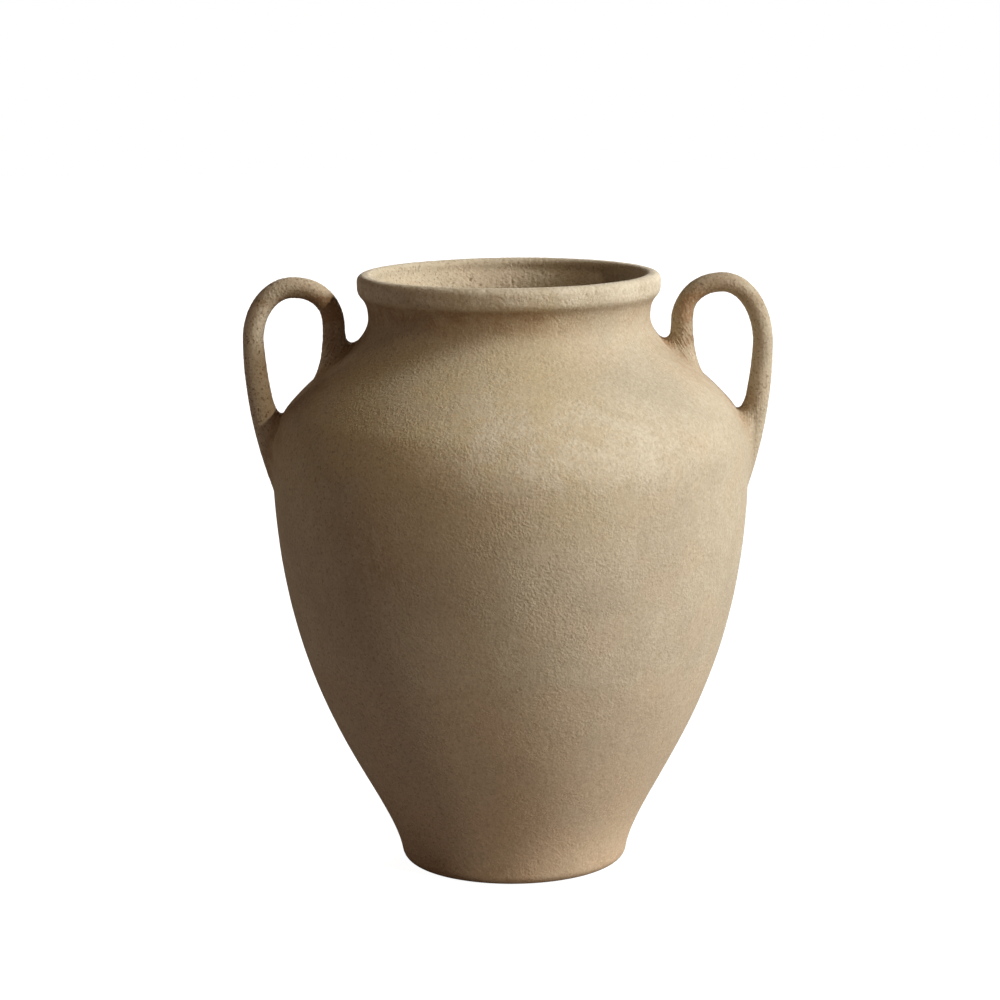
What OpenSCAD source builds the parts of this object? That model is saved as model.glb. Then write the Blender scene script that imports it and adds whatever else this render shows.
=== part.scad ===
// Two-handled clay jar vase, built up from a base slab, thrown wall sections, a rim coil and two pulled
// loop handles, all luted together with slip.
// Millimetres. The origin is the middle of the base on the table, +Z is up, the handles lie along X.

/* [Clay] */
// Thickness of the thrown wall
wall = 12; // [9:0.5:15]
// Film of slip left between two luted pieces
slip = 0.3; // [0.2:0.05:0.5]
// Height of the tongue on the upper edge of a section
tongue_h = 4; // [2:0.5:6]
// Width of that tongue where it leaves the edge
tongue_w = 5; // [3:0.5:7]

/* [Base] */
// Diameter of the flat that stands on the table
base_d = 154; // [120:1:180]
// Radius of the rounded bottom corner
corner_r = 9; // [5:0.5:18]
// Height of the base slab, from the table to the floor inside
slab_h = 14; // [11:0.5:22]
// Depth of the hollow trimmed under the base
hollow_h = 3; // [1:0.5:5]
// Width of the ring that stands around the hollow
ring_w = 16; // [8:1:30]

/* [Belly] */
// Widest diameter
belly_d = 358; // [310:1:400]
// Height of the widest place above the table
belly_z = 314; // [270:1:370]
// Lean of the wall at the foot, from upright
foot_lean = 10; // [0:0.5:20]
// Length along which the wall keeps the lean of the foot
foot_reach = 55; // [30:1:80]
// Length along which the wall stays upright under the widest place
belly_reach = 186; // [140:1:220]
// Height of the seam above the foot
foot_seam = 48; // [35:1:70]
// Height of the seam across the belly
belly_seam = 190; // [140:1:230]

/* [Shoulder and neck] */
// Rise from the widest place to the narrowest place of the neck
shoulder_rise = 103; // [85:1:130]
// Length along which the wall stays upright above the widest place
shoulder_reach = 54; // [30:1:70]
// Length along which the neck stays upright under its narrowest place
neck_reach = 29; // [15:1:40]
// Narrowest outside diameter of the neck
neck_d = 211; // [180:1:230]
// Rise from the widest place to the seam under the shoulder
shoulder_seam = 37; // [20:1:50]
// Drop from the narrowest place to the seam under the neck
neck_seam = 20; // [10:1:24]

/* [Rim] */
// Rise from the narrowest place to the top of the rim
rim_rise = 33; // [28:1:45]
// Outside diameter of the rim
rim_d = 227; // [214:1:250]
// Length along which the neck stays upright above its narrowest place
flare_reach = 17; // [8:1:20]
// Length along which the rim stays upright under its lip
lip_reach = 14; // [6:1:18]
// Radius of the rolled outer lip
lip_r = 5.5; // [3:0.5:6]
// Radius of the inner edge of the mouth
edge_r = 2.5; // [1:0.5:3]
// Rise from the narrowest place to the seam under the rim coil
rim_seam = 10; // [7:1:14]

/* [Handles] */
// Diameter of the handle rod over the arch and down the outer leg
rod_d = 15.2; // [11:0.2:18]
// Diameter of the inner leg under the arch, before it flares to its root
leg_d = 16.6; // [13:0.2:20]
// Gap between the narrowest neck and the middle of the inner leg
leg_gap = 25; // [20:0.5:32]
// Distance that the outer leg stands out beyond the belly
overhang = 19.5; // [14:0.5:26]
// Drop from the top of the rim to the top of the handles
handle_drop = 2; // [0:0.5:15]
// Drop from the inner end of the arch to its outer end, which is drawn out longer
arch_drop = 12; // [5:1:30]
// Diameter to which the outer leg swells by the tip of its tail
tail_d = 22; // [15:0.5:26]
// Drop from the widest place to the tip of that tail on the belly
tail_drop = 29; // [10:1:60]
// Reach of the fillet smeared around the root on the shoulder
upper_fillet = 13; // [5:0.5:14]
// Height over the shoulder at which the inner leg starts to flare
flare_rise = 36; // [15:1:40]
// Reach of the fillet smeared around the root on the belly
lower_fillet = 7; // [3:0.5:10]
// Reach up the shoulder of the same fillet in the crotch under the loop
crotch_fillet = 10; // [8:0.5:20]
// Length of the outer leg along which that crotch is filled
crotch_rise = 17; // [10:1:30]
// Thickness of the clay left at the edge of either fillet
root_edge = 0.8; // [0.4:0.1:1.5]

/* [Hidden] */
$fn = 180;
clay = "#b8a07a";
pale_clay = "#c4ad87";

// Counts of steps along the curves and around the handle rod
curve_steps = 28;
arc_steps = 8;
rod_sides = 32;
arch_steps = 18;
lean_steps = 10;
fillet_steps = 8;
cap_steps = 4;
halvings = 24;
widest_lean = 60;
// Shortest edge that is kept beside a seam, as a share of the wall
least_edge = wall / 30;
// Shortest straight stretch that is kept between the arch and a flare, as a share of the rod
least_leg = rod_d / 15;

// Heights and radii of the outline
base_r = base_d / 2;
hollow_r = base_r - ring_w;
belly_r = belly_d / 2;
neck_r = neck_d / 2;
rim_r = rim_d / 2;
neck_z = belly_z + shoulder_rise;
top_z = neck_z + rim_rise;
lip = min(lip_r, wall / 2);
edge = min(edge_r, wall / 4);
lip_z = top_z - lip;

// Plane curves: a Bezier curve, a circular arc, a list without its first point and a list turned round
function bezier(a, b, c, d) =
    [for (i = [0:curve_steps])
        let (t = i / curve_steps, u = 1 - t)
        u * u * u * a + 3 * u * u * t * b + 3 * u * t * t * c + t * t * t * d];
function arc(centre, r, from, to) =
    [for (i = [0:arc_steps])
        let (a = from + (to - from) * i / arc_steps)
        centre + r * [cos(a), sin(a)]];
function rest(path) = [for (i = [1:len(path) - 1]) path[i]];
function reverse(path) = [for (i = [len(path) - 1:-1:0]) path[i]];

// Outline of the outside, foot to lip: rounded corner, belly, shoulder and flared rim
corner = arc([base_r, corner_r], corner_r, -90, -foot_lean);
foot = corner[arc_steps];
belly_curve = bezier(foot, foot + foot_reach * [sin(foot_lean), cos(foot_lean)],
    [belly_r, belly_z - belly_reach], [belly_r, belly_z]);
shoulder_curve = bezier([belly_r, belly_z], [belly_r, belly_z + shoulder_reach],
    [neck_r, neck_z - neck_reach], [neck_r, neck_z]);
rim_curve = bezier([neck_r, neck_z], [neck_r, neck_z + flare_reach],
    [rim_r, lip_z - lip_reach], [rim_r, lip_z]);
side = concat(belly_curve, rest(shoulder_curve), rest(rim_curve));
outer = concat(corner, rest(side));

// Outline of the inside, one wall thickness square to the outside
function inward(path, i) =
    let (step = path[min(i + 1, len(path) - 1)] - path[max(i - 1, 0)])
    [-step.y, step.x] / norm(step);
inner = [for (i = [0:len(side) - 1]) side[i] + wall * inward(side, i)];

// Radius of either outline at a height, and the height of the shoulder at a radius
outer_table = [for (p = outer) [p.y, p.x]];
inner_table = [for (p = inner) [p.y, p.x]];
function at_height(table, z) = [lookup(z, table), z];
function mid_wall(z) = (lookup(z, outer_table) + lookup(z, inner_table)) / 2;
function shoulder_height(r) = lookup(r, shoulder_curve);
function between(path, low, high) =
    [for (p = path) if (p.y > low + least_edge && p.y < high - least_edge) p];

// Tongue that runs round a seam in the middle of the wall, listed from the outside in
function tongue(z) =
    let (root = mid_wall(z), tip = mid_wall(z + tongue_h))
    [[root + tongue_w / 2, z], [tip + tongue_w / 4, z + tongue_h],
        [tip - tongue_w / 4, z + tongue_h], [root - tongue_w / 2, z]];

// A ring of wall between two seams, grooved below and tongued above
module wall_section(low, high) {
    bottom = low + slip / 2;
    top = high - slip / 2;
    rotate_extrude()
        polygon(concat(
            [at_height(outer_table, bottom)],
            between(outer, bottom, top),
            [at_height(outer_table, top)],
            tongue(top),
            [at_height(inner_table, top)],
            reverse(between(inner, bottom, top)),
            [at_height(inner_table, bottom)],
            reverse(tongue(bottom))));
}

// Handle axis in the XZ plane: inner leg and an arch of two quarter ellipses
leg_x = neck_r + leg_gap;
reach_x = belly_r + overhang;
outer_x = reach_x - rod_d / 2;
arch_r = (outer_x - leg_x) / 2;
arch_x = (outer_x + leg_x) / 2;
arch_z = top_z - handle_drop - rod_d / 2 - arch_r;
// Outside of the leaning leg: an arc from the arch to the tip of the tail on the belly
lean_z = arch_z - arch_drop;
tail_z = belly_z - tail_drop;
tail_in = reach_x - lookup(tail_z, outer_table);
lean_r = (pow(lean_z - tail_z, 2) + pow(tail_in, 2)) / (2 * tail_in);
lean_x = reach_x - lean_r;
tail_turn = asin((lean_z - tail_z) / lean_r);

// A point on the rod: the axis point and outward normal in the XZ plane, the radius, the angle around it
function rod_point(axis, normal, r, a) =
    [axis.x + r * cos(a) * normal.x, r * sin(a), axis.y + r * cos(a) * normal.y];
// The rod thins from the leg over the first quarter of the arch
function arch_d(t) = t < 0.25 ? rod_d + (leg_d - rod_d) * pow(cos(360 * t), 2) : rod_d;
function arch_point(t, a) =
    let (turn = 180 * (1 - t), drop = t > 0.5 ? arch_drop : 0, height = arch_r + drop,
        axis = [arch_x + arch_r * cos(turn), arch_z - drop + height * sin(turn)],
        normal = [cos(turn) / arch_r, sin(turn) / height])
    rod_point(axis, normal / norm(normal), arch_d(t) / 2, a);
// The leaning leg swells inwards from its outside
function lean_point(turn, a) =
    let (normal = [cos(turn), -sin(turn)], r = (rod_d + (tail_d - rod_d) * turn / tail_turn) / 2)
    rod_point([lean_x, lean_z] + (lean_r - r) * normal, normal, r, a);

// A point that lies on the film of slip over the wall, lifted off it
function on_wall(y, z, lift) =
    let (r = lookup(z, outer_table) + slip + lift)
    [sqrt(r * r - y * y), y, z];
// Turn of the leaning leg at which one line along the rod comes to the wall, found by halving
function lean_end(a, low, high, tries) =
    let (middle = (low + high) / 2, p = lean_point(middle, a))
    tries == 0 ? middle
    : norm([p.x, p.y]) > lookup(p.z, outer_table) + slip ? lean_end(a, middle, high, tries - 1)
    : lean_end(a, low, middle, tries - 1);
// Fillet along one line of the rod: it leaves the rod at start, bends at hit and ends on the wall
function fillet(start, hit, reach, climb, a, s) =
    let (end = on_wall(hit.y + reach * sin(a), hit.z + climb * reach * cos(a), root_edge))
    (1 - s) * (1 - s) * start + 2 * s * (1 - s) * hit + s * s * end;

// Root of the inner leg on the shoulder; the last ring of either root lies on the wall
function upper_hit(a) =
    let (x = leg_x - leg_d / 2 * cos(a), y = leg_d / 2 * sin(a))
    [x, y, shoulder_height(norm([x, y]) - slip)];
function upper_root(a, s) =
    let (hit = upper_hit(a), rise = min(flare_rise, arch_z - hit.z - least_leg))
    fillet(hit + [0, 0, rise], hit, upper_fillet, 1, a, s);
// Root of the outer leg on the belly; its fillet grows from the tail round to the crotch
function lower_turn(a) = lean_end(a, 0, widest_lean, halvings);
function round_to(a, tail, crotch) = tail + (crotch - tail) * pow((1 - cos(a)) / 2, 2);
function leave_turn(a) = lower_turn(a) - round_to(a, lower_fillet, crotch_rise) / lean_r * 180 / PI;
function lower_root(a, s) =
    fillet(lean_point(leave_turn(a), a), lean_point(lower_turn(a), a),
        round_to(a, lower_fillet, crotch_fillet), -1, a, s);
function grounded(p) = on_wall(p.y, p.z, 0);

// Rings of the handle in order, from the shoulder over the arch to the belly
angles = [for (i = [0:rod_sides - 1]) 360 * i / rod_sides];
upper_rings = concat(
    [[for (a = angles) grounded(upper_root(a, 1))]],
    [for (k = [fillet_steps:-1:0]) [for (a = angles) upper_root(a, k / fillet_steps)]]);
arch_rings = [for (k = [0:arch_steps]) [for (a = angles) arch_point(k / arch_steps, a)]];
lean_rings = [for (k = [1:lean_steps - 1])
    [for (a = angles) lean_point(leave_turn(a) * k / lean_steps, a)]];
lower_rings = concat(
    [for (k = [0:fillet_steps]) [for (a = angles) lower_root(a, k / fillet_steps)]],
    [[for (a = angles) grounded(lower_root(a, 1))]]);
rings = concat(upper_rings, arch_rings, lean_rings, lower_rings);

// Seat of a root: rows across the last ring that follow the wall
half_sides = rod_sides / 2;
function seat_points(ring) =
    [for (i = [1:half_sides - 1])
        for (j = [1:cap_steps - 1])
            on_wall(ring[i].y * (1 - 2 * j / cap_steps), ring[i].z, 0)];
function seat_index(first, inside, i, j) =
    i % half_sides == 0 || j == 0 ? first + i
    : j == cap_steps ? first + rod_sides - i
    : inside + (i - 1) * (cap_steps - 1) + j - 1;
function seat_faces(first, inside) =
    [for (i = [0:half_sides - 1])
        for (j = [0:cap_steps - 1])
            let (a = seat_index(first, inside, i, j), b = seat_index(first, inside, i + 1, j),
                c = seat_index(first, inside, i + 1, j + 1), d = seat_index(first, inside, i, j + 1))
            each i == 0 ? [[a, b, c]] : i == half_sides - 1 ? [[a, b, d]] : [[a, b, c], [a, c, d]]];

// One loop handle on the +X side
module handle() {
    last = len(rings) - 1;
    ring_points = [for (ring = rings) each ring];
    upper_seat = seat_points(rings[0]);
    lower_seat = seat_points(rings[last]);
    upper_first = len(ring_points);
    lower_first = upper_first + len(upper_seat);
    rod_faces = [for (k = [0:last - 1])
        for (i = [0:rod_sides - 1])
            let (a = k * rod_sides + i, b = k * rod_sides + (i + 1) % rod_sides)
            each [[a, b, b + rod_sides], [a, b + rod_sides, a + rod_sides]]];
    upper_faces = [for (f = seat_faces(0, upper_first)) reverse(f)];
    lower_faces = seat_faces(last * rod_sides, lower_first);
    polyhedron(concat(ring_points, upper_seat, lower_seat), concat(rod_faces, upper_faces, lower_faces));
}

// Round floor of the vase: rounded corner, hollow underside, tongue for the first section
module base_slab() {
    top = slab_h - slip / 2;
    color(clay)
        rotate_extrude()
            polygon(concat(
                [[0, hollow_h], [hollow_r - hollow_h, hollow_h], [hollow_r, 0], [base_r, 0]],
                between(outer, 0, top),
                [at_height(outer_table, top)],
                tongue(top),
                [[0, top]]));
}

module foot_wall() {
    color(clay)
        wall_section(slab_h, foot_seam);
}

module lower_belly_wall() {
    color(clay)
        wall_section(foot_seam, belly_seam);
}

module upper_belly_wall() {
    color(clay)
        wall_section(belly_seam, belly_z + shoulder_seam);
}

module shoulder_wall() {
    color(clay)
        wall_section(belly_z + shoulder_seam, neck_z - neck_seam);
}

module neck_ring() {
    color(clay)
        wall_section(neck_z - neck_seam, neck_z + rim_seam);
}

// Rolled coil around the mouth, grooved to sit on the neck
module rim_coil() {
    bottom = neck_z + rim_seam + slip / 2;
    color(pale_clay)
        rotate_extrude()
            polygon(concat(
                [at_height(outer_table, bottom)],
                between(outer, bottom, lip_z),
                arc([rim_r - lip, lip_z], lip, 0, 90),
                arc([rim_r - wall + edge, top_z - edge], edge, 90, 180),
                reverse(between(inner, bottom, top_z - edge)),
                [at_height(inner_table, bottom)],
                reverse(tongue(bottom))));
}

module right_handle() {
    color(pale_clay)
        handle();
}

module left_handle() {
    color(pale_clay)
        mirror([1, 0, 0])
            handle();
}

base_slab();
foot_wall();
lower_belly_wall();
upper_belly_wall();
shoulder_wall();
neck_ring();
rim_coil();
left_handle();
right_handle();
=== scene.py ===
import math
import bpy
import numpy as np
from mathutils import Matrix, Vector


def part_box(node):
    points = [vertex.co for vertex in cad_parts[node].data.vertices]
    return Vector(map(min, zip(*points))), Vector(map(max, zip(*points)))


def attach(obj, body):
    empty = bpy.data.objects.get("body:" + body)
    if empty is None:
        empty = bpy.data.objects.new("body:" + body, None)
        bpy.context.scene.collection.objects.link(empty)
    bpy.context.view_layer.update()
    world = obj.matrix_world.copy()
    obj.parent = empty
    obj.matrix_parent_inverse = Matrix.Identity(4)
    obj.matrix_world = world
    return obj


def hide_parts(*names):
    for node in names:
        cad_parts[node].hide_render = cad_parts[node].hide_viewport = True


# A two-handled jar of unglazed, sandy clay. Metres, standing on z = 0, with the handles along x.
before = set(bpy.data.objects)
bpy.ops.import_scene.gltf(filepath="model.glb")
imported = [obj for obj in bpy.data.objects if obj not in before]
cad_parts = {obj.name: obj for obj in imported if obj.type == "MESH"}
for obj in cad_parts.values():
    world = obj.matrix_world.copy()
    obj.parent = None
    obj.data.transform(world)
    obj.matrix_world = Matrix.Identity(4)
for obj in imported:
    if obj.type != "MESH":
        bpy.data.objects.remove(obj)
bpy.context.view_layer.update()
print("frame:", len(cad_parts), "clay pieces loaded")


# Camera

cameraView = {
    "distance": 2.333,     # in front of the axis of the jar
    "height": 0.699,
    "pitch": 10.246,       # degrees down
    "roll": 0.56,          # degrees, the jar leans left in the picture
    "lens": 112.9,         # mm
    "sensor": 36.0,        # mm
    "sideways": -0.01088,  # the jar stands right of the middle of the picture
}


# The axes of the camera: the way it looks, tilted down by the pitch, and its right and up turned by the roll
def makeCamera(view):
    pitch, roll = math.radians(view["pitch"]), math.radians(view["roll"])
    right = Vector((1, 0, 0))
    ahead = Vector((0, math.cos(pitch), -math.sin(pitch)))
    above = right.cross(ahead)
    axes = Matrix((right * math.cos(roll) - above * math.sin(roll),
                   right * math.sin(roll) + above * math.cos(roll), -ahead)).transposed()
    data = bpy.data.cameras.new("camera")
    data.sensor_width = view["sensor"]
    data.lens = view["lens"]
    data.shift_x = view["sideways"]
    camera = bpy.data.objects.new("camera", data)
    camera.matrix_world = Matrix.Translation((0, -view["distance"], view["height"])) @ axes.to_4x4()
    bpy.context.scene.collection.objects.link(camera)
    bpy.context.scene.camera = camera


makeCamera(cameraView)
print("camera: set")


# Clay surface

clayRelief = {
    "swell": (0.110, 0.00040, 0),     # size of the feature, how far it stands out and the seed of its noise
    "lump": (0.026, 0.00014, 1),
    "grain": (0.0050, 0.00006, 2),
    "sand": (0.0028, 0.00009, 3),
    "fine": (0.0018, 0.00010, 5),     # only on the handles, the rim and in the mouth, which are rougher
    "pits": (0.0046, 0.0012, 9),
    "pitLevel": 0.34,                 # noise above this level opens a pit
    "fineShare": 1.3,                 # fine sand on the wall for each step that its grain is coarser
    "calmFoot": 0.006,                # the relief fades out towards the table
}


# Gradient noise: every corner of a cubic lattice has a random slope, and the eight around a point are
# blended with the weights 6t^5 - 15t^4 + 10t^3
def clayNoise(points, size, seed):
    draw = np.random.RandomState(seed)
    count = 1024
    shuffle = draw.permutation(count)
    slopes = draw.normal(size=(count, 3))
    slopes /= np.linalg.norm(slopes, axis=1, keepdims=True)
    place = points / size
    cell = np.floor(place).astype(np.int64)
    local = place - cell
    blend = local ** 3 * (local * (local * 6 - 15) + 10)
    total = np.zeros(points.shape[:-1])
    for corner in np.ndindex(2, 2, 2):
        at = (cell + corner) % count
        pick = shuffle[(shuffle[(shuffle[at[..., 0]] + at[..., 1]) % count] + at[..., 2]) % count]
        weight = np.prod(np.where(corner, blend, 1 - blend), axis=-1)
        total += weight * np.sum(slopes[pick] * (local - corner), axis=-1)
    return total


# Height of the clay over the plain shape: the noise of each layer times its depth and share, added up, less
# the pits, which are what their noise has above a level
def reliefAt(points, coarse, fine=0.0):
    height = np.zeros(points.shape[:-1])
    shares = {"swell": 1.0, "lump": 1.0, "grain": coarse, "sand": coarse, "fine": fine}
    for layer, share in shares.items():
        size, depth, seed = clayRelief[layer]
        height += share * depth * clayNoise(points, size, seed)
    size, depth, seed = clayRelief["pits"]
    pits = np.clip(clayNoise(points, size, seed) - clayRelief["pitLevel"], 0, None)
    return height - coarse * depth * pits


# Rises smoothly from 0 to 1 between two values, as 3t^2 - 2t^3
def smoothStep(low, high, value):
    t = np.clip((value - low) / (high - low), 0, 1)
    return t * t * (3 - 2 * t)


# Outline of the wall

wallShape = {
    "thickness": 0.012,
    "baseRadius": 0.077,       # flat that stands on the table
    "cornerRadius": 0.009,
    "footLean": 10.0,          # degrees from upright
    "footReach": 0.055,        # how far the wall keeps that lean
    "bellyHeight": 0.314,
    "bellyReach": 0.186,
    "shoulderReach": 0.054,
    "neckRadius": 0.1055,
    "neckHeight": 0.417,
    "neckReach": 0.029,
    "flareReach": 0.017,
    "lipReach": 0.014,
    "lipRadius": 0.0055,
    "edgeRadius": 0.0050,      # inner edge of the mouth
    "ridges": ((0.347, 0.008, 0.0007),     # height, half width and rise: the shoulder's turn
               (0.4362, 0.0036, 0.0006)),  # and the lower edge of the rolled rim
    "mouthCoarse": 3.5,        # the inside of the mouth is rougher than the outside
    "mouthFade": 0.012,        # how far below the edge it is fully rough
    "rimCoarse": 1.8,          # the rim is rougher too
    "rimRise": (0.424, 0.438), # heights between which that sets in
}
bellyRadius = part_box("upper_belly_wall")[1].x
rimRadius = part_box("rim_coil")[1].x
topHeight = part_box("rim_coil")[1].z


# Cubic Bezier curve: four points weighted by the Bernstein terms of t
def bezier(a, b, c, d, steps=320):
    t = np.linspace(0, 1, steps)[:, None]
    u = 1 - t
    return u ** 3 * a + 3 * u * u * t * b + 3 * u * t * t * c + t ** 3 * d


# Part of a circle between two angles in degrees: the centre plus the radius times cosine and sine
def arc(centre, radius, start, stop, steps=48):
    turn = np.radians(np.linspace(start, stop, steps))
    return np.array(centre) + radius * np.column_stack((np.cos(turn), np.sin(turn)))


# Unit vectors a quarter turn to the right of a path's direction, which is out of the clay on these paths
def outwardOf(path):
    step = np.gradient(path, axis=0)
    return np.column_stack((step[:, 1], -step[:, 0])) / np.linalg.norm(step, axis=1, keepdims=True)


# The skin of the wall as three paths of (radius, height): rounded corner, belly, shoulder, neck and lip on
# the outside, then over the mouth, then down the inside, one wall thickness square to the outside. Bell
# curves of the height raise the soft ridges.
def wallSkin(shape):
    lean = math.radians(shape["footLean"])
    corner = arc((shape["baseRadius"], shape["cornerRadius"]), shape["cornerRadius"], -90, -shape["footLean"])
    foot = corner[-1]
    belly = np.array((bellyRadius, shape["bellyHeight"]))
    neck = np.array((shape["neckRadius"], shape["neckHeight"]))
    lip = np.array((rimRadius, topHeight - shape["lipRadius"]))
    rise = np.array((0.0, 1.0))
    leaning = np.array((math.sin(lean), math.cos(lean)))
    side = np.vstack((
        bezier(foot, foot + shape["footReach"] * leaning, belly - shape["bellyReach"] * rise, belly)[:-1],
        bezier(belly, belly + shape["shoulderReach"] * rise, neck - shape["neckReach"] * rise, neck)[:-1],
        bezier(neck, neck + shape["flareReach"] * rise, lip - shape["lipReach"] * rise, lip)))
    inside = side - shape["thickness"] * outwardOf(side)
    raised = [stand * np.exp(-((side[:, 1] - at) / width) ** 2) for at, width, stand in shape["ridges"]]
    side = side + sum(raised)[:, None] * outwardOf(side)
    edge = shape["edgeRadius"]
    over = np.vstack((
        arc((rimRadius - shape["lipRadius"], lip[1]), shape["lipRadius"], 0, 90)[1:],
        arc((rimRadius - shape["thickness"] + edge, topHeight - edge), edge, 90, 180)))
    outside = np.vstack((corner[:-1], side))
    inside = inside[inside[:, 1] < topHeight - edge][::-1]
    return outside, over, inside


# All of it as one path, from the standing ring to the floor inside, and the length along it
outsidePath, mouthPath, insidePath = wallSkin(wallShape)
standingPath = outsidePath[:1] - np.array(((wallShape["thickness"], 0.0),))
skinPath = np.vstack((standingPath, outsidePath, mouthPath, insidePath))
skinLength = np.r_[0, np.cumsum(np.linalg.norm(np.diff(skinPath, axis=0), axis=1))]
outsideEnd = 1 + len(outsidePath)
insideStart = outsideEnd + len(mouthPath)


# Length along the skin at which the outside reaches a height, read off between the path's points
def outsideAt(height):
    return np.interp(height, skinPath[:outsideEnd, 1], skinLength[:outsideEnd])


# The same for the inside
def insideAt(height):
    return np.interp(height, skinPath[:insideStart - 1:-1, 1], skinLength[:insideStart - 1:-1])


# How coarse the grain is at a length along the skin: 1, eased up to the rim's value and then to the mouth's
def coarseAt(length):
    edge = skinLength[insideStart]
    rimLow, rimHigh = (outsideAt(height) for height in wallShape["rimRise"])
    rim = 1 + (wallShape["rimCoarse"] - 1) * smoothStep(rimLow, rimHigh, length)
    mouth = smoothStep(edge, edge + wallShape["mouthFade"], length)
    return rim + (wallShape["mouthCoarse"] - wallShape["rimCoarse"]) * mouth


# Radius of the plain outside at a height, read off between the path's points
def outsideRadius(height):
    return np.interp(height, outsidePath[:, 1], outsidePath[:, 0])


# Meshes

meshSpread = {
    "around": 800,     # points round the jar
    "wall": 0.0017,    # rows along the wall
    "close": 0.0009,   # rows where the eye comes close: foot, shoulder, neck and rim
    "hidden": 0.010,   # rows inside the belly
}
upward = np.array((0.0, 0.0, 1.0))


# Unit normals of faces: the cross product of their two diagonals, or of two sides of a triangle
def facing(corners):
    normal = np.cross(corners[..., 2, :] - corners[..., 0, :], corners[..., -1, :] - corners[..., 1, :])
    return normal / np.linalg.norm(normal, axis=-1, keepdims=True)


# Puts a grid of points, closed around, into a mesh object. Its last row meets the first, or fans to two poles
# close its ends. The bands above hardRows are flat, and the others take the normals that come with the grid.
def putGrid(name, grid, lean, hardRows=(), poles=None, mirrored=False):
    rows, around = grid.shape[:2]
    low = np.arange(rows if poles is None else rows - 1)
    here = np.arange(around)
    there = (here + 1) % around
    row, rowNext = low[:, None] * around, (low[:, None] + 1) % rows * around
    quads = np.stack((row + here, row + there, rowNext + there, rowNext + here), axis=2)
    points = grid.reshape(-1, 3)
    normals = lean.reshape(-1, 3)[quads]
    hard = np.isin(low, hardRows)
    normals[hard] = facing(points[quads[hard]])[:, :, None]
    faces, smooth = [quads.reshape(-1, 4)], np.repeat(~hard, around)
    corners = [normals.reshape(-1, 4, 3)]
    if poles is not None:
        top = (rows - 1) * around
        points = np.vstack((points, poles))
        fans = np.vstack((np.stack((0 * here + rows * around, there, here), axis=1),
                          np.stack((top + here, top + there, 0 * here + rows * around + 1), axis=1)))
        faces.append(fans)
        corners.append(np.repeat(facing(points[fans])[:, None], 3, axis=1))
        smooth = np.r_[smooth, np.zeros(len(fans), bool)]
    if mirrored:
        faces = [face[:, ::-1] for face in faces]
        corners = [corner[:, ::-1] for corner in corners]
        corners[1:] = [-corner for corner in corners[1:]]
    return putMesh(name, points, faces, corners, smooth)


# Writes points, faces and corner normals into a new mesh object
def putMesh(name, points, faces, corners, smooth):
    mesh = bpy.data.meshes.new(name)
    loops = np.concatenate([face.ravel() for face in faces])
    sizes = np.concatenate([np.full(len(face), face.shape[1]) for face in faces])
    mesh.vertices.add(len(points))
    mesh.vertices.foreach_set("co", points.astype(np.float32).ravel())
    mesh.loops.add(len(loops))
    mesh.loops.foreach_set("vertex_index", loops.astype(np.int32))
    mesh.polygons.add(len(sizes))
    mesh.polygons.foreach_set("loop_start", np.r_[0, np.cumsum(sizes)[:-1]].astype(np.int32))
    mesh.update(calc_edges=True)
    mesh.polygons.foreach_set("use_smooth", smooth)
    given = mesh.attributes.new("custom_normal", "FLOAT_VECTOR", "CORNER")
    given.data.foreach_set("vector", np.concatenate([c.ravel() for c in corners]).astype(np.float32))
    mesh.update()
    piece = bpy.data.objects.new(name, mesh)
    bpy.context.scene.collection.objects.link(piece)
    return piece


# Values that the clay's colours follow, one for each point of a piece
def putValues(piece, **values):
    for name, value in values.items():
        field = piece.data.attributes.new(name, "FLOAT", "POINT")
        field.data.foreach_set("value", np.asarray(value, np.float32).ravel())


# Unit normals of a grid of points: the slope around crossed with the slope along
def gridNormals(grid):
    around = np.roll(grid, -1, axis=1) - np.roll(grid, 1, axis=1)
    along = np.gradient(grid, axis=0)
    normal = np.cross(around, along)
    return normal / np.linalg.norm(normal, axis=2, keepdims=True)


# Rings about the axis: the point at each radius and height, at every angle around
def ringsAt(radius, height):
    turn = 2 * np.pi * np.arange(meshSpread["around"]) / meshSpread["around"]
    ring = np.stack((np.cos(turn), np.sin(turn), np.zeros_like(turn)), axis=1)
    return np.asarray(radius)[:, None, None] * ring + np.asarray(height)[:, None, None] * upward


# A stretch of the skin turned about the axis: the point at a length along the skin and an angle around,
# pushed out by the relief. One row more at either end gives the last rows the slope of the clay beyond it.
def turnedStretch(start, stop, pitch):
    steps = max(2, round(abs(stop - start) / pitch))
    length = start + (stop - start) / steps * np.arange(-1, steps + 2)
    radius = np.interp(length, skinLength, skinPath[:, 0])
    height = np.interp(length, skinLength, skinPath[:, 1])
    outward = outwardOf(np.column_stack((radius, height)))
    plain = ringsAt(radius, height)
    push = ringsAt(outward[:, 0], outward[:, 1])
    keep = smoothStep(0.0, clayRelief["calmFoot"], height)[:, None]
    coarse = coarseAt(length)[:, None]
    relief = keep * reliefAt(plain, coarse, clayRelief["fineShare"] * (coarse - 1))
    grid = plain + push * relief[..., None]
    return grid[1:-1], gridNormals(grid)[1:-1]


# Soil, wear, painted shade and painted sheen

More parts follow.
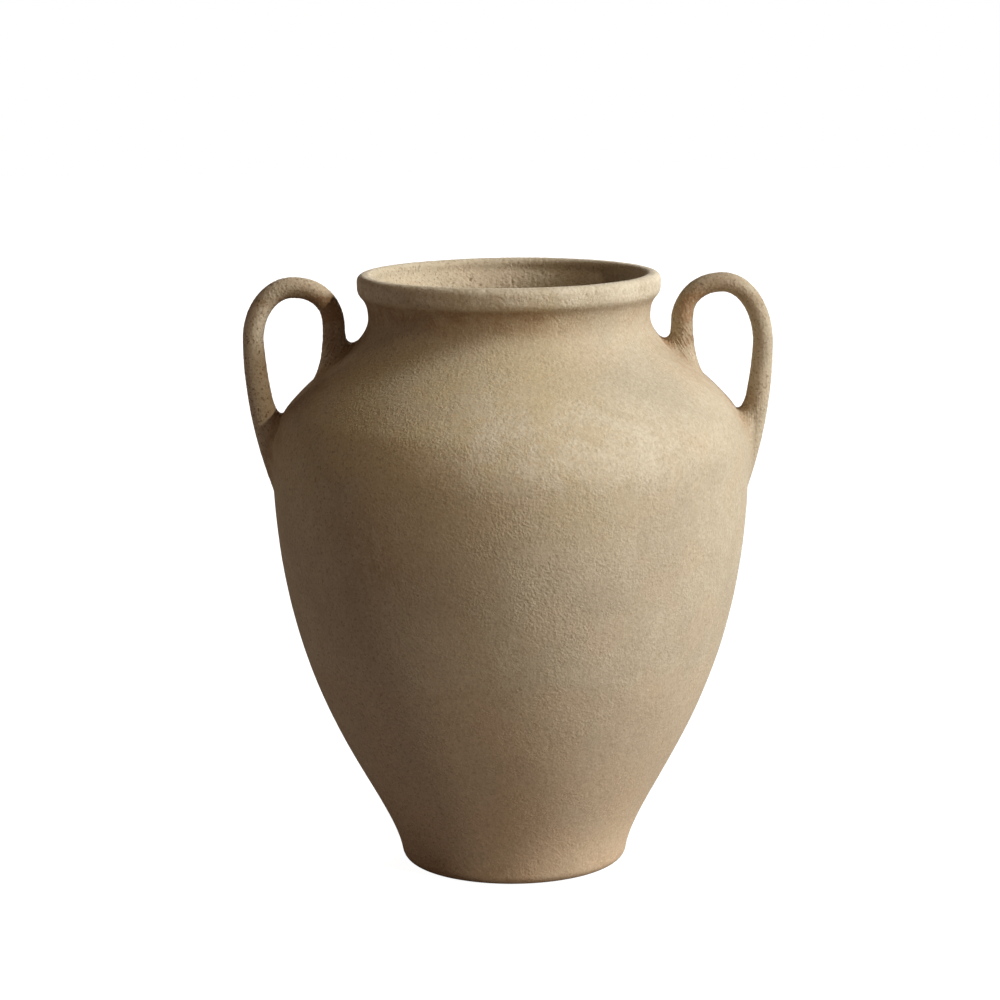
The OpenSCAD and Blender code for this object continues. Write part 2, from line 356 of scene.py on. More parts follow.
claySoilAndShade = {
    "rimLow": (0.405, 0.430),          # heights between which soil and painted shade set in under the rim
    "rimHigh": (0.4315, 0.4355),       # and between which it ends
    "rimSides": (5.0, 28.0),           # it thins out between these degrees from the front, towards +x,
    "rimShare": 0.42,                  # to this share
    "upperRoot": (0.1305, 0.385),      # distance from the axis and height of the handles' roots
    "lowerRoot": (0.167, 0.348),
    "upperReach": (0.004, 0.082),      # distances between which the soil and painted shade round the upper roots fade
    "upperShare": 0.72,
    "lowerLeft": (0.024, 0.084),       # the same for the lower ones, on the wall
    "lowerRight": (0.003, 0.050),
    "lowerRod": (0.004, 0.030),        # and on the rods
    "wallOnly": (0.002, 0.011),        # distances out of the wall between which a root turns into a rod
    "footDarkening": (0.003, 0.024),        # heights between which the darkening at the foot's edge ends
    "footShare": 0.40,
    "lipWear": (0.4325, 0.440),        # heights between which the lip is worn pale
    "mouthDepth": (0.008, 0.012),      # distances under the skin between which the inside begins
    "mouthShadeShare": 0.24,                # painted shade inside the mouth
    "mouthShadeGrit": 2.0,                  # and how dark its pits are against those outside, as painted shade
    "leftShadeGrit": 1.0,                   # darker pits added on the shaded left side, as painted shade
    "leftSide": (-45.0, -5.0),         # degrees from the front between which it ends
    "turnSheenRise": (0.298, 0.326),        # heights of the pale band where the belly turns into the shoulder, partly wear and partly a painted sheen
    "turnSheenFall": (0.352, 0.392),
    "turnSheenMiddle": 13.0,                # it is widest at this many degrees from the front and the back
    "turnSheenSpread": (16.0, 40.0),        # and ends between these many degrees from there
    "turnSheenShare": 0.75,
    "stain": (-33.0, 0.262),           # a darker cloud on the belly: degrees from the front, and height
    "stainReach": (12.0, 0.036),       # its half widths
    "stainShare": 0.56,
    "ochreRise": (0.240, 0.360),       # heights between which the clay turns yellower towards the shoulder
    "ochreFall": (0.372, 0.412),       # and less so again towards the neck
    "ochreNeck": 0.55,                 # the share that is left there
    "ochreSide": (8.0, 42.0),          # degrees from the front between which the yellow ends
}


# How much of a rod, and not of the wall, a point is: its distance out of the wall, eased in
def rodShare(points):
    stand = np.hypot(points[:, 0], points[:, 1]) - outsideRadius(points[:, 2])
    return smoothStep(*claySoilAndShade["wallOnly"], stand)


# What the clay's colours follow: soil and painted shade under the rim and round the handles, darkening at the
# foot's edge, painted shade in the mouth, wear and a painted sheen where the belly turns, how yellow the clay
# is and how dark its pits are. Each comes from smooth steps of the height, the degrees from the front and the
# distance from the roots, multiplied or added, and the cloud on the belly is a bell curve.
def wallValues(points):
    radius = np.hypot(points[:, 0], points[:, 1])
    height = points[:, 2]
    # degrees from the front, or from the back on that side, towards +x
    aside = np.degrees(np.arctan2(points[:, 0], np.abs(points[:, 1])))
    # painted shade under the rolled rim together with its soil, thinning towards the lit side
    rim = smoothStep(*claySoilAndShade["rimLow"], height) * (1 - smoothStep(*claySoilAndShade["rimHigh"], height))
    inside = smoothStep(*claySoilAndShade["mouthDepth"], outsideRadius(height) - radius)
    rim *= (1 - (1 - claySoilAndShade["rimShare"]) * smoothStep(*claySoilAndShade["rimSides"], aside)) * (1 - inside)
    beyond = np.abs(points[:, 0])
    (upperX, upperZ), (lowerX, lowerZ) = claySoilAndShade["upperRoot"], claySoilAndShade["lowerRoot"]
    upper = np.sqrt((beyond - upperX) ** 2 + points[:, 1] ** 2 + (height - upperZ) ** 2)
    lower = np.sqrt((beyond - lowerX) ** 2 + points[:, 1] ** 2 + (height - lowerZ) ** 2)
    near, far = np.where(points[:, :1] < 0, claySoilAndShade["lowerLeft"], claySoilAndShade["lowerRight"]).T
    # soil and painted shade where the handles meet the wall, reaching further on the shaded left
    roots = claySoilAndShade["upperShare"] * (1 - smoothStep(*claySoilAndShade["upperReach"], upper))
    roots = np.maximum(roots, 1 - smoothStep(near, far, lower))
    rod = rodShare(points)
    roots += rod * (1 - smoothStep(*claySoilAndShade["lowerRod"], lower) - roots)
    # darker towards the table
    foot = claySoilAndShade["footShare"] * (1 - smoothStep(*claySoilAndShade["footDarkening"], height))
    (stainSide, stainHeight), (stainWide, stainHigh) = claySoilAndShade["stain"], claySoilAndShade["stainReach"]
    stain = np.exp(-((aside - stainSide) / stainWide) ** 2 - ((height - stainHeight) / stainHigh) ** 2)
    stain *= claySoilAndShade["stainShare"] * (1 - inside)
    edge = smoothStep(*claySoilAndShade["lipWear"], height) * (1 - inside)
    # the pale band at the turn: wear and a painted sheen where the light falls
    turn = smoothStep(*claySoilAndShade["turnSheenRise"], height) * (1 - smoothStep(*claySoilAndShade["turnSheenFall"], height))
    turn *= 1 - smoothStep(*claySoilAndShade["turnSheenSpread"], np.abs(aside - claySoilAndShade["turnSheenMiddle"]))
    turn *= claySoilAndShade["turnSheenShare"] * (1 - inside)
    ochre = smoothStep(*claySoilAndShade["ochreRise"], height) * (1 - smoothStep(*claySoilAndShade["ochreSide"], aside))
    ochre *= 1 - (1 - claySoilAndShade["ochreNeck"]) * smoothStep(*claySoilAndShade["ochreFall"], height)
    ochre *= (1 - inside) * (1 - rod)
    # darker pits inside the mouth are painted shade
    gritAndShade = 1 + (claySoilAndShade["mouthShadeGrit"] - 1) * inside
    # more dark pits on the shaded left side: painted shade
    gritAndShade += claySoilAndShade["leftShadeGrit"] * (1 - smoothStep(*claySoilAndShade["leftSide"], aside))
    # inside the mouth the soil brown is painted shade
    return {"soilAndShade": np.clip(rim + roots + foot + stain + claySoilAndShade["mouthShadeShare"] * inside, 0, 1),
            "wearAndSheen": np.clip(edge + turn, 0, 1), "ochre": ochre, "gritAndShade": gritAndShade}


# Wall

claySections = {
    "footWall": ("foot_wall", "close", "hidden"),          # node, rows outside, rows inside
    "lowerBellyWall": ("lower_belly_wall", "wall", "hidden"),
    "upperBellyWall": ("upper_belly_wall", "wall", "hidden"),
    "shoulderWall": ("shoulder_wall", "close", "hidden"),
    "neckRing": ("neck_ring", "close", "close"),
}
wallNodes = [section[0] for section in claySections.values()] + ["rim_coil"]
seamHeights = [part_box(node)[0].z for node in wallNodes]


# One ring of wall: outside up, over the seam, inside down and under the seam
def makeWallRing(name, node, stretches):
    grids, normals = zip(*[turnedStretch(*stretch) for stretch in stretches])
    seams = np.cumsum([len(grid) for grid in grids]) - 1
    grid = np.vstack(grids)
    piece = putGrid(name, grid, np.vstack(normals), hardRows=seams)
    putValues(piece, **wallValues(grid.reshape(-1, 3)))
    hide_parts(node)
    return piece


# The wall from the foot to the rim: each section runs from its own lower seam to the next one's, and the rim
# coil runs from its seam over the mouth and back to the seam
def makeWall():
    pieces = []
    for order, (name, (node, outsideRows, insideRows)) in enumerate(claySections.items()):
        low, high = seamHeights[order], seamHeights[order + 1]
        pieces.append(makeWallRing(name, node, [
            (outsideAt(low), outsideAt(high), meshSpread[outsideRows]),
            (insideAt(high), insideAt(low), meshSpread[insideRows])]))
    seam = seamHeights[-1]
    overMouth = (outsideAt(seam), insideAt(seam), meshSpread["close"])
    pieces.append(makeWallRing("rimCoil", "rim_coil", [overMouth]))
    return pieces


wallPieces = makeWall()
print("wall:", len(wallPieces), "rings turned")


# Base slab

baseShape = {
    "hollowRadius": 0.061,     # edge of the hollow trimmed under the base
    "hollowHeight": 0.003,
    "bevel": 0.0012,
    "ringStart": 0.004,        # length along the skin at which the fine rows start
    "floorRows": 26,
    "middle": 0.003,           # radius of the last ring on the floor
}


# The slab is a profile turned about the axis: hollow, standing ring, corner and wall, then the floor inside
def makeBase(shape):
    seam = seamHeights[0]
    inner = np.interp(insideAt(seam), skinLength, skinPath[:, 0])
    hollow = shape["hollowRadius"]
    under = ringsAt((hollow - shape["hollowHeight"], hollow, hollow + shape["bevel"]),
                    (shape["hollowHeight"], shape["bevel"] / 2, 0.0))
    outside, outsideLean = turnedStretch(shape["ringStart"], outsideAt(seam), meshSpread["close"])
    floorRadius = np.linspace(inner, shape["middle"], shape["floorRows"])
    floor = ringsAt(floorRadius, np.full_like(floorRadius, seam))
    floor += upward * np.clip(reliefAt(floor, wallShape["mouthCoarse"]), None, 0)[..., None]
    grid = np.vstack((under, outside, floor))
    lean = np.vstack((gridNormals(under), outsideLean, gridNormals(floor)))
    hardRows = [*range(len(under)), len(under) + len(outside) - 1]
    poles = np.array(((0, 0, shape["hollowHeight"]), (0, 0, seam)))
    piece = putGrid("baseSlab", grid, lean, hardRows, poles)
    putValues(piece, **wallValues(np.vstack((grid.reshape(-1, 3), poles))))
    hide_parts("base_slab")
    return piece


basePiece = makeBase(baseShape)
print("base: slab made")


# Handles

handleShape = {
    "legRadius": 0.0083,       # inner leg under the arch
    "legGap": 0.025,           # neck to the middle of the inner leg
    "tailRadius": 0.011,       # rod at the tip of the tail
    "tailDrop": 0.029,         # widest place of the belly to that tip
    "upperFillet": 0.013,      # reach of the fillet on the shoulder
    "flareRise": 0.036,        # height over the shoulder at which the inner leg starts to flare
    "lowerFillet": 0.009,      # reach of the fillet on the belly
    "sideFillet": 0.012,       # what it reaches further to the front and the back
    "crotchFillet": 0.0125,    # reach of the same fillet up the shoulder, under the loop
    "crotchRise": 0.020,       # length of the outer leg along which that crotch is filled
    "archPower": 0.90,         # below 1 the inner quarter of the arch is squarer than an ellipse
    "legShare": 0.20,          # part of the arch along which the inner leg thins to the rod
    "leastLeg": 0.001,         # straight leg that is left under the arch
    "mostTurn": 60.0,          # degrees along the outer leg's arc within which it meets the wall
    "halvings": 30,            # steps in which that place is found
    "sunk": 0.0015,            # the smeared edge of a root dips into the wall
    "coarse": 0.8,             # grain against the wall's
    "fine": 2.6,               # and fine sand
    "soilShadeSide": (0.135, 0.188),    # distances from the axis between which the soil and painted shade on the arch end
    "soilShadeRise": (0.384, 0.406),    # heights between which it comes in above the shoulder
    "soilShadeFront": 0.80,             # share of it where the rod faces the front
    "soilShadeTurn": 0.70,              # more where it faces the neck, where shade falls, and less where it faces the loop
    "mostSoilShade": 1.4,
    "wearSide": (0.160, 0.182),    # distances between which wear sets in on the outer leg
    "around": 96,
    "rows": {"upper": 60, "arch": 150, "lean": 90, "lower": 40},
    # each rod's side and radius, how far its leg, reach, outer quarter and top are moved, its wear and grit
    "left": {"side": -1, "rodRadius": 0.0079, "legShift": 0.0008, "stretch": 0.0012, "archDrop": 0.009,
             "lift": 0.0, "wearAndSheen": 0.45, "gritAndShade": 1.9},
    "right": {"side": 1, "rodRadius": 0.0073, "legShift": -0.0012, "stretch": -0.0012, "archDrop": 0.015,
              "lift": 0.0005, "wearAndSheen": 0.0, "gritAndShade": 2.6},
}


# A handle is a round rod carried along its path: up the inner leg, over an arch of two quarter ellipses, the
# inner one with its cosine and sine raised to a power, and down the leaning outer leg, whose outside is an
# arc. Each line along the rod ends in a curve that bends into the wall.
def handleGrid(shape, hand):
    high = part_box("right_handle")[1]
    angle = 2 * np.pi * np.arange(shape["around"]) / shape["around"]
    rod = hand["rodRadius"]
    legX = wallShape["neckRadius"] + shape["legGap"] + hand["legShift"]
    reach = high.x + hand["stretch"]
    archR = (reach - rod - legX) / 2
    archX = legX + archR
    archZ = high.z + hand["lift"] - rod - archR
    leanZ = archZ - hand["archDrop"]
    tailZ = wallShape["bellyHeight"] - shape["tailDrop"]
    tailIn = reach - outsideRadius(tailZ)
    leanR = ((leanZ - tailZ) ** 2 + tailIn ** 2) / (2 * tailIn)
    tailTurn = math.asin((leanZ - tailZ) / leanR)

    # a point on the rod: the axis point, plus the radius along its normal and along y
    def rodPoint(axisX, axisZ, normalX, normalZ, radius):
        out = radius * np.cos(angle)
        aside = radius * np.sin(angle) + 0 * axisX
        return np.stack((axisX + out * normalX, aside, axisZ + out * normalZ), axis=-1)

    # a point on the wall at a height and a distance along y, raised by lift
    def onWall(y, z, lift):
        radius = outsideRadius(z) + lift
        return np.stack((np.sqrt(np.clip(radius ** 2 - y ** 2, 0, None)), y, z), axis=-1)

    # a point on the outer leg at a turn along its arc: the rod grows evenly towards the tail, inside the arc
    def leanPoint(turn):
        radius = rod + (shape["tailRadius"] - rod) * turn / tailTurn
        normalX, normalZ = np.cos(turn), -np.sin(turn)
        return rodPoint(reach - leanR + (leanR - radius) * normalX, leanZ + (leanR - radius) * normalZ,
                        normalX, normalZ, radius)

    # a value that goes from the tail's side of the rod to the crotch under the loop, with the square of half
    # of one less the cosine, plus what the sides have more, with the sine squared
    def roundTo(tail, crotch):
        crotchShare = ((1 - np.cos(angle)) / 2) ** 2
        return tail + (crotch - tail) * crotchShare + shape["sideFillet"] * np.sin(angle) ** 2

    # a root's curve: quadratic, from the rod to the wall, bending where the rod's line meets the wall
    def rootRows(start, hit, fillet, climb, rows):
        t = np.linspace(0, 1, rows)[:, None, None]
        endY = hit[:, 1] + fillet * np.sin(angle)
        endZ = hit[:, 2] + climb * fillet * np.cos(angle)
        end = onWall(endY, endZ, -shape["sunk"])
        return (1 - t) ** 2 * start + 2 * t * (1 - t) * hit + t * t * end

    # the turn at which each line of the leaning leg meets the wall, by halving
    nearer, further = np.zeros_like(angle), np.full_like(angle, math.radians(shape["mostTurn"]))
    for halving in range(shape["halvings"]):
        middle = (nearer + further) / 2
        point = leanPoint(middle)
        free = np.hypot(point[:, 0], point[:, 1]) > outsideRadius(point[:, 2])
        nearer, further = np.where(free, middle, nearer), np.where(free, further, middle)
    meet = nearer

    legPoint = rodPoint(np.full_like(angle, legX), np.zeros_like(angle), -1.0, 0.0, shape["legRadius"])
    heights = outsidePath[:, 1]
    onShoulder = (heights > wallShape["bellyHeight"]) & (heights < wallShape["neckHeight"])
    slope = outsidePath[onShoulder][::-1]
    shoulder = np.interp(np.hypot(legPoint[:, 0], legPoint[:, 1]), slope[:, 0], slope[:, 1])
    hit = np.stack((legPoint[:, 0], legPoint[:, 1], shoulder), axis=-1)
    start = hit + upward * np.minimum(shape["flareRise"], archZ - shoulder - shape["leastLeg"])[:, None]
    upper = rootRows(start, hit, shape["upperFillet"], 1, shape["rows"]["upper"])[::-1]

    t = np.linspace(0, 1, shape["rows"]["arch"])[:, None]
    turn = np.pi * (1 - t)
    drop = np.where(t > 0.5, hand["archDrop"], 0.0)
    radius = rod + (shape["legRadius"] - rod) * (1 - smoothStep(0, shape["legShare"], t))
    power = np.where(t < 0.5, shape["archPower"], 1.0)
    across, rise = np.cos(turn), np.clip(np.sin(turn), 0, None)
    normalX = np.sign(across) * np.abs(across) ** (2 - power) / archR
    normalZ = rise ** (2 - power) / (archR + drop)
    size = np.hypot(normalX, normalZ)
    arch = rodPoint(archX + archR * np.sign(across) * np.abs(across) ** power,
                    archZ - drop + (archR + drop) * rise ** power, normalX / size, normalZ / size, radius)

    leave = meet - roundTo(shape["lowerFillet"], shape["crotchRise"]) / leanR
    lean = leanPoint(leave * np.linspace(0, 1, shape["rows"]["lean"])[1:-1, None])
    fillet = roundTo(shape["lowerFillet"], shape["crotchFillet"])
    lower = rootRows(leanPoint(leave), leanPoint(meet), fillet, -1, shape["rows"]["lower"])
    return np.vstack((upper, arch, lean, lower))


rootStrokes = {
    "long": 0.0042,        # strokes left by the fingers that smeared the roots
    "wide": 0.0017,
    "twist": -85.0,        # turn around the rod per metre along it
    "depth": 0.0008,
    "upper": (0.130, 0.394),   # x and z of their middles
    "lower": (0.178, 0.350),
    "lowerShare": 0.35,
    "reach": (0.006, 0.024),   # distances between which they fade
    "dark": (0.08, 0.26),      # shares of the depth between which soil and grit fill them
    "gritAndShade": 3.0,
    "seed": 21,
}


# Strokes near the roots: noise drawn out along the rod and wound around it, faded out away from both roots
def strokesAt(plain, strokes):
    middle = plain.mean(axis=1)
    along = np.r_[0, np.cumsum(np.linalg.norm(np.diff(middle, axis=0), axis=1))][:, None]
    angle = 2 * np.pi * np.arange(plain.shape[1]) / plain.shape[1] + strokes["twist"] * along
    around = handleShape["legRadius"] / strokes["wide"]
    lengthwise = along / strokes["long"] + 0 * angle
    place = np.stack((lengthwise, around * np.cos(angle), around * np.sin(angle)), axis=-1)
    upper, lower = (1 - smoothStep(*strokes["reach"], np.hypot(np.abs(plain[..., 0]) - x, plain[..., 2] - z))
                    for x, z in (strokes["upper"], strokes["lower"]))
    return np.maximum(upper, strokes["lowerShare"] * lower) * clayNoise(place, 1.0, strokes["seed"])


# The rod pushed out along its normals by the relief and the strokes. Its values are the wall's at the roots,
# with soil and painted shade where the rod turns to the neck, soil in the strokes, and with wear and darker
# pits further out.
def makeHandle(name, node, shape, hand):
    plain = handleGrid(shape, hand) * np.array((hand["side"], 1, 1))
    strokes = strokesAt(plain, rootStrokes)
    out = gridNormals(plain) * hand["side"]
    height = reliefAt(plain, shape["coarse"], shape["fine"]) + rootStrokes["depth"] * strokes
    grid = plain + out * height[..., None]
    lean = gridNormals(grid) * hand["side"]
    poles = np.array((grid[0].mean(axis=0), grid[-1].mean(axis=0)))
    piece = putGrid(name, grid, lean, poles=poles, mirrored=hand["side"] < 0)
    points = np.vstack((grid.reshape(-1, 3), poles))
    rod = rodShare(points)
    values = wallValues(points)
    # soil and painted shade where the rod faces the neck, between handle and neck
    neckSideSoilAndShade = np.clip(shape["soilShadeFront"] - shape["soilShadeTurn"] * hand["side"] * out[..., 0], 0, 1)
    neckSideSoilAndShade *= 1 - smoothStep(*shape["soilShadeSide"], np.abs(plain[..., 0]))
    neckSideSoilAndShade *= smoothStep(*shape["soilShadeRise"], plain[..., 2])
    flecks = smoothStep(*rootStrokes["dark"], -strokes).ravel()
    values["soilAndShade"][:-2] += neckSideSoilAndShade.ravel() + flecks
    values["gritAndShade"][:-2] += rootStrokes["gritAndShade"] * flecks
    values["soilAndShade"] = np.clip(values["soilAndShade"], 0, shape["mostSoilShade"])
    values["wearAndSheen"] = hand["wearAndSheen"] * rod * smoothStep(*shape["wearSide"], np.abs(points[:, 0]))
    values["gritAndShade"] *= 1 + (hand["gritAndShade"] - 1) * rod
    putValues(piece, **values)
    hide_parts(node)
    return piece


handlePieces = [makeHandle(hand + "Handle", hand + "_handle", handleShape, handleShape[hand])
                for hand in ("left", "right")]
print("handles:", len(handlePieces), "rods drawn")


# Material

sandyClay = {
    "colours": {
        "pale": (0.560, 0.505, 0.380),
        "tan": (0.445, 0.395, 0.295),
        "rose": (0.555, 0.470, 0.345),   # warmer patches
        "foot": (0.578, 0.455, 0.315),   # pinker towards the foot
        "ochre": (0.564, 0.478, 0.292),  # yellower clay on the shoulder
        # soil brown, also used for painted shade under the rim, round the roots, on the handles' neck side
        # and in the mouth
        "soilAndShade": (0.315, 0.192, 0.100),
        # pale of wear, also used for the painted sheen where the belly turns
        "wearAndSheen": (0.668, 0.618, 0.485),
        "grain": (0.340, 0.275, 0.175),  # darker grains of sand
        "chip": (0.68, 0.60, 0.44),      # paler grains
        "rust": (0.56, 0.39, 0.22),      # orange grains in the yellower clay
        # dark pits, also painted shade inside the mouth and on the shaded left side
        "pit": (0.235, 0.175, 0.110),
    },
    # size, detail and roughness of a noise, two levels between which it is read, and what it gives at them
    "patterns": {
        "clouds": (0.060, 4.0, 0.6, 0.36, 0.66, 0.0, 0.62),
        "patches": (0.018, 3.0, 0.6, 0.40, 0.70, 0.0, 0.34),
        "rose": (0.036, 3.0, 0.55, 0.46, 0.66, 0.0, 0.6),
        "foot": (0.045, 3.0, 0.5, 0.3, 0.65, 0.55, 1.0),
        "ochre": (0.030, 3.0, 0.5, 0.3, 0.6, 0.5, 1.0),
        "soilAndShade": (0.012, 4.0, 0.65, 0.35, 0.65, 0.40, 0.90),
        "wearAndSheen": (0.020, 4.0, 0.6, 0.35, 0.6, 0.35, 1.0),
        "mottle": (0.0062, 2.0, 0.6, 0.42, 0.66, 0.0, 0.14),
        "grain": (0.0028, 2.0, 0.7, 0.27, 0.75, 0.0, 0.37),
        "chip": (0.0019, 1.0, 0.5, 0.58, 0.76, 0.0, 0.36),
        "rust": (0.0034, 2.0, 0.6, 0.50, 0.72, 0.0, 0.38),
        "pit": (0.0020, 1.0, 0.6, 0.55, 0.74, 0.0, 0.27),
        "sand": (0.022, 3.0, 0.6, 0.34, 0.64, 0.55, 1.2),
        "roughness": (0.008, 2.0, 0.5, 0.3, 0.7, 0.82, 0.97),
    },
    "footEdge": (0.174, 0.158, 0.0, 0.35),   # two heights, and how pink the clay is at them
    "footDeep": (0.15, 0.02, 0.0, 0.6),      # the same again further down
    "sandRise": (0.10, 0.25, 0.24, 0.40),    # two heights, and how strong the sand is at them
    "sandNoise": (0.0020, 1.0, 0.5),         # size, detail and roughness of the sand
    "cellSize": 0.0017,                      # single grains in it
    "cellShare": 0.32,
    "sandDepth": 0.0010,
    "gloss": 0.25,
}


# A small helper for node trees: adds a node, sets its plain inputs and links the others
def addNode(tree, kind, inputs=None, **settings):
    node = tree.nodes.new(kind)
    for key, value in settings.items():
        setattr(node, key, value)
    for key, value in (inputs or {}).items():
        if isinstance(value, bpy.types.NodeSocket):
            tree.links.new(value, node.inputs[key])
        else:
            node.inputs[key].default_value = value
    return node


# The clay: clouds of two colours, over which each further colour is mixed by its noise, times the piece's own
# value or a ramp of the height where it has one. The sand is a bump: noise less the distance to grains.
def makeClay(look):
    material = bpy.data.materials.new("sandyClay")
    material.use_nodes = True
    tree = material.node_tree
    tree.nodes.clear()
    place = addNode(tree, "ShaderNodeTexCoord").outputs["Object"]

    # noise whose features have about this size
    def noise(size, detail, rough):
        inputs = {"Vector": place, "Scale": 1 / size, "Detail": detail, "Roughness": rough}
        return addNode(tree, "ShaderNodeTexNoise", inputs).outputs["Fac"]

    # goes smoothly from bottom to top while the value goes from low to high
    def ramp(value, low, high, bottom, top):
        inputs = {"Value": value, "From Min": low, "From Max": high, "To Min": bottom, "To Max": top}
        return addNode(tree, "ShaderNodeMapRange", inputs, interpolation_type="SMOOTHSTEP").outputs["Result"]

    # a named noise, read between its two levels
    def pattern(name):
        size, detail, rough, *levels = look["patterns"][name]
        return ramp(noise(size, detail, rough), *levels)

    # two values added, subtracted or multiplied
    def maths(operation, a, b):
        return addNode(tree, "ShaderNodeMath", {0: a, 1: b}, operation=operation).outputs[0]

    # a share of a named colour over another
    def mix(share, under, name):
        inputs = {"Factor": share, 6: under, 7: look["colours"][name] + (1.0,)}
        return addNode(tree, "ShaderNodeMix", inputs, data_type="RGBA").outputs[2]

    # a value that the piece has at each point
    def pieceValue(name):
        return addNode(tree, "ShaderNodeAttribute", attribute_name=name).outputs["Fac"]

    height = addNode(tree, "ShaderNodeSeparateXYZ", {"Vector": place}).outputs["Z"]
    body = mix(pattern("clouds"), look["colours"]["pale"] + (1.0,), "tan")
    body = mix(pattern("patches"), body, "tan")
    body = mix(pattern("rose"), body, "rose")
    footShare = maths("ADD", ramp(height, *look["footEdge"]), ramp(height, *look["footDeep"]))
    body = mix(maths("MULTIPLY", footShare, pattern("foot")), body, "foot")
    # the soil value also carries painted shade, and the wear value a painted sheen
    for name in ("ochre", "soilAndShade", "wearAndSheen"):
        body = mix(maths("MULTIPLY", pieceValue(name), pattern(name)), body, name)
    body = mix(pattern("mottle"), body, "grain")
    body = mix(pattern("grain"), body, "grain")
    body = mix(pattern("chip"), body, "chip")
    body = mix(maths("MULTIPLY", pieceValue("ochre"), pattern("rust")), body, "rust")
    # darker pits: grit, and painted shade in the mouth and on the shaded left side
    body = mix(maths("MULTIPLY", pieceValue("gritAndShade"), pattern("pit")), body, "pit")

    cells = addNode(tree, "ShaderNodeTexVoronoi", {"Vector": place, "Scale": 1 / look["cellSize"]})
    cellHeight = maths("MULTIPLY", cells.outputs["Distance"], look["cellShare"])
    sandHeight = maths("SUBTRACT", noise(*look["sandNoise"]), cellHeight)
    sandShare = maths("MULTIPLY", ramp(height, *look["sandRise"]), pattern("sand"))
    sand = addNode(tree, "ShaderNodeBump", {"Height": sandHeight, "Distance": look["sandDepth"],
                                            "Strength": sandShare})
    shader = addNode(tree, "ShaderNodeBsdfPrincipled", {
        "Base Color": body, "Roughness": pattern("roughness"), "Specular IOR Level": look["gloss"],
        "Normal": sand.outputs["Normal"]})
    output = addNode(tree, "ShaderNodeOutputMaterial", {"Surface": shader.outputs["BSDF"]})
    output.is_active_output = True
    return material


clayMaterial = makeClay(sandyClay)
for piece in [basePiece, *wallPieces, *handlePieces]:
    piece.data.materials.append(clayMaterial)
    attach(piece, "root")
print("material: clay laid on", 1 + len(wallPieces) + len(handlePieces), "pieces")


# Floor and light

studio = {
    "floorWidth": 14.0,
    "floorGlow": 0.97,
    "floorPaint": 0.30,
    "floorBounce": (0.285, 0.24, 0.218),   # what the table sends back to the jar
    "fillBelow": (0.230, 0.150, 0.110),
    "fillAbove": (0.045, 0.029, 0.021),
    "lampDistance": 3.0,
    "key": {"azimuth": 46, "elevation": 26, "angle": 1.2, "strength": 0.84, "colour": (1.24, 1.0, 0.74)},
    "side": {"azimuth": 78.5, "elevation": 28, "angle": 20, "strength": 3.55, "colour": (0.99, 1.0, 1.02)},
    "edge": {"azimuth": 230, "elevation": 12, "angle": 20, "strength": 0.20, "colour": (1.17, 1.0, 0.84)},
    "back": {"azimuth": 165, "elevation": 18, "angle": 30, "strength": 1.1, "colour": (1.0, 1.0, 1.0)},
}


# The way to a light: azimuth turns from the camera's side towards +x, elevation climbs from the floor
def wayTo(light):
    turn, climb = math.radians(light["azimuth"]), math.radians(light["elevation"])
    return Vector((math.sin(turn) * math.cos(climb), -math.cos(turn) * math.cos(climb), math.sin(climb)))


# Suns, each with its z axis turned to the way it shines from; where it stands makes no difference
def makeLights(plan):
    for name in ("key", "side", "edge", "back"):
        light = plan[name]
        data = bpy.data.lights.new(name, "SUN")
        data.angle = math.radians(light["angle"])
        data.energy = light["strength"]
        data.color = light["colour"]
        lamp = bpy.data.objects.new(name, data)
        lamp.location = wayTo(light) * plan["lampDistance"]
        lamp.rotation_mode = "QUATERNION"
        lamp.rotation_quaternion = wayTo(light).to_track_quat("Z", "Y")
        bpy.context.scene.collection.objects.link(lamp)


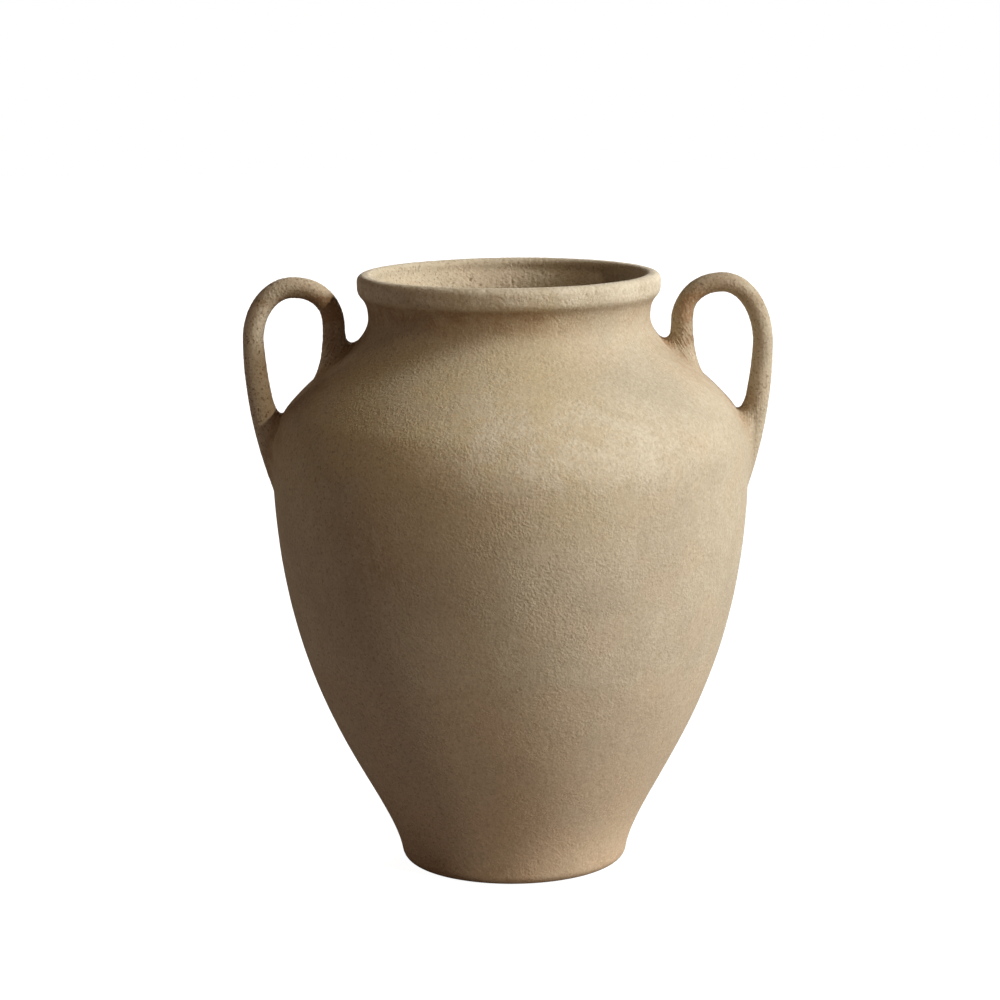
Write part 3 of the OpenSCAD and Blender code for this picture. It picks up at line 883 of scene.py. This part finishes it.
# Warm fill that grows evenly from straight above to straight below, as over a bright table; the camera itself
# sees plain white behind the jar
def makeWorld(plan):
    world = bpy.data.worlds.new("studio")
    bpy.context.scene.world = world
    world.use_nodes = True
    tree = world.node_tree
    tree.nodes.clear()
    way = addNode(tree, "ShaderNodeTexCoord").outputs["Generated"]
    climb = addNode(tree, "ShaderNodeSeparateXYZ", {"Vector": way}).outputs["Z"]
    span = {"Value": climb, "From Min": -1.0, "From Max": 1.0}
    share = addNode(tree, "ShaderNodeMapRange", span).outputs["Result"]
    ends = {"Factor": share, 6: plan["fillBelow"] + (1.0,), 7: plan["fillAbove"] + (1.0,)}
    tint = addNode(tree, "ShaderNodeMix", ends, data_type="RGBA").outputs[2]
    fill = addNode(tree, "ShaderNodeBackground", {"Color": tint, "Strength": 1.0})
    white = addNode(tree, "ShaderNodeBackground", {"Color": (1, 1, 1, 1), "Strength": 1.0})
    seen = addNode(tree, "ShaderNodeLightPath").outputs["Is Camera Ray"]
    both = addNode(tree, "ShaderNodeMixShader", {0: seen, 1: fill.outputs[0], 2: white.outputs[0]})
    addNode(tree, "ShaderNodeOutputWorld", {"Surface": both.outputs[0]})


# The camera sees the floor glow; the jar gets a warm bounce from where the lights reach it
def makeFloor(plan):
    half = plan["floorWidth"] / 2
    mesh = bpy.data.meshes.new("floor")
    corners = [(-half, -half, 0), (half, -half, 0), (half, half, 0), (-half, half, 0)]
    mesh.from_pydata(corners, [], [(0, 1, 2, 3)])
    floor = bpy.data.objects.new("floor", mesh)
    bpy.context.scene.collection.objects.link(floor)
    material = bpy.data.materials.new("paleFloor")
    material.use_nodes = True
    tree = material.node_tree
    tree.nodes.clear()
    glow = addNode(tree, "ShaderNodeEmission", {"Color": (1, 1, 1, 1), "Strength": plan["floorGlow"]})
    paint = addNode(tree, "ShaderNodeBsdfDiffuse", {"Color": (plan["floorPaint"],) * 3 + (1.0,)})
    shown = addNode(tree, "ShaderNodeAddShader", {0: glow.outputs[0], 1: paint.outputs[0]})
    bounce = addNode(tree, "ShaderNodeBsdfDiffuse", {"Color": plan["floorBounce"] + (1.0,)})
    seen = addNode(tree, "ShaderNodeLightPath").outputs["Is Camera Ray"]
    both = addNode(tree, "ShaderNodeMixShader", {0: seen, 1: bounce.outputs[0], 2: shown.outputs[0]})
    addNode(tree, "ShaderNodeOutputMaterial", {"Surface": both.outputs[0]})
    mesh.materials.append(material)


makeLights(studio)
makeWorld(studio)
makeFloor(studio)
bpy.context.scene.view_settings.view_transform = "Standard"
print("studio: floor and lights placed")
